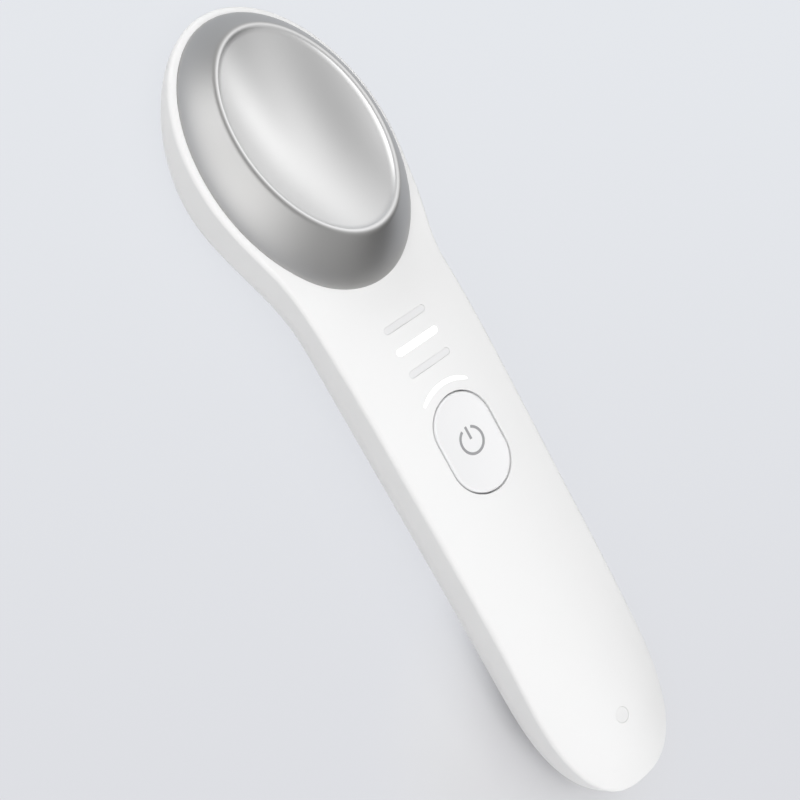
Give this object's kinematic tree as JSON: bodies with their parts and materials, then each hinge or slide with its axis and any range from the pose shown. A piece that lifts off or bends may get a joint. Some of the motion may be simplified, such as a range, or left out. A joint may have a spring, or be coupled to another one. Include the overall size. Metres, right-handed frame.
{
  "type": "eye massager wand",
  "caption": "Slim white handheld wand with a bent oval head that carries a shallow metal cup for warming or cooling the eye area, with a power button and a tail charging socket.",
  "frame": {"origin": "centre of the bounding box's underside, on the flat back that the wand lies on", "axes": "+X across the wand, +Y along it from the charging tail to the metal cup, +Z out of the front face"},
  "size_m": [0.0414, 0.1638, 0.0246],
  "materials": {
    "front_moulding": "satin white moulding",
    "back_moulding": "satin white moulding",
    "button_moulding": "satin white moulding",
    "cup_metal": "fine satin",
    "lit_guide": "lit diffuser",
    "frosted_guide": "frosted diffuser",
    "soft_rubber": "matte",
    "dark_moulding": "matte",
    "bright_steel": "plain",
    "sink_alloy": "extruded",
    "heat_pad": "soft matte",
    "white_ceramic": "fired ceramic",
    "sensor_bead": "dipped",
    "green_board": "solder mask",
    "chip_black": "moulded",
    "cell_foil": "foil pouch",
    "grey_foam": "closed-cell foam",
    "weight_brass": "sintered",
    "red_wire": "insulation",
    "black_wire": "insulation"
  },
  "bodies": {
    "housing": {"arc_light_guide": "lit_guide", "battery_cell": "cell_foil", "battery_lead": "red_wire", "battery_pad": "grey_foam", "board_screw_1": "bright_steel", "board_screw_2": "bright_steel", "board_screw_3": "bright_steel", "board_screw_4": "bright_steel", "board_screw_5": "bright_steel", "board_screw_6": "bright_steel", "charge_light_guide": "frosted_guide", "charger_chip": "chip_black", "contact_cup": "cup_metal", "controller_chip": "chip_black", "cup_gasket": "soft_rubber", "cup_retainer": "dark_moulding", "front_shell": "front_moulding", "heat_sink": "sink_alloy", "indicator_led_1": "lit_guide", "indicator_led_2": "lit_guide", "indicator_led_3": "lit_guide", "indicator_led_4": "lit_guide", "indicator_led_5": "lit_guide", "main_board": "green_board", "mode_light_guide": "frosted_guide", "module_lead": "black_wire", "motor_case": "bright_steel", "motor_lead": "black_wire", "motor_sleeve": "soft_rubber", "power_coil": "chip_black", "rear_shell": "back_moulding", "retainer_screw_1": "bright_steel", "retainer_screw_2": "bright_steel", "retainer_screw_3": "bright_steel", "retainer_screw_4": "bright_steel", "sink_pad": "heat_pad", "socket_shell": "bright_steel", "socket_tongue": "dark_moulding", "switch_body": "dark_moulding", "thermal_pad": "heat_pad", "thermistor": "sensor_bead", "thermoelectric_module": "white_ceramic"},
    "button": {"power_button": "button_moulding"},
    "plunger": {"switch_plunger": "bright_steel"},
    "rotor": {"motor_shaft": "bright_steel", "motor_weight": "weight_brass"}
  },
  "joints": [
    {"name": "button_press", "type": "slide", "parent": "housing", "child": "button", "axis": [0, 0, -1], "range_m": [0, 0.0004], "stiffness_N_per_m": 2000},
    {"name": "plunger_press", "type": "slide", "parent": "housing", "child": "plunger", "axis": [0, 0, -1], "range_m": [0, 0.0004]},
    {"name": "motor_spin", "type": "hinge", "parent": "housing", "child": "rotor", "pos_m": [0, 0.014, 0.0063], "axis": [0, 1, 0], "continuous": true}
  ],
  "couplings": [
    {"joint": "plunger_press", "follows": "button_press", "ratio": 1}
  ]
}
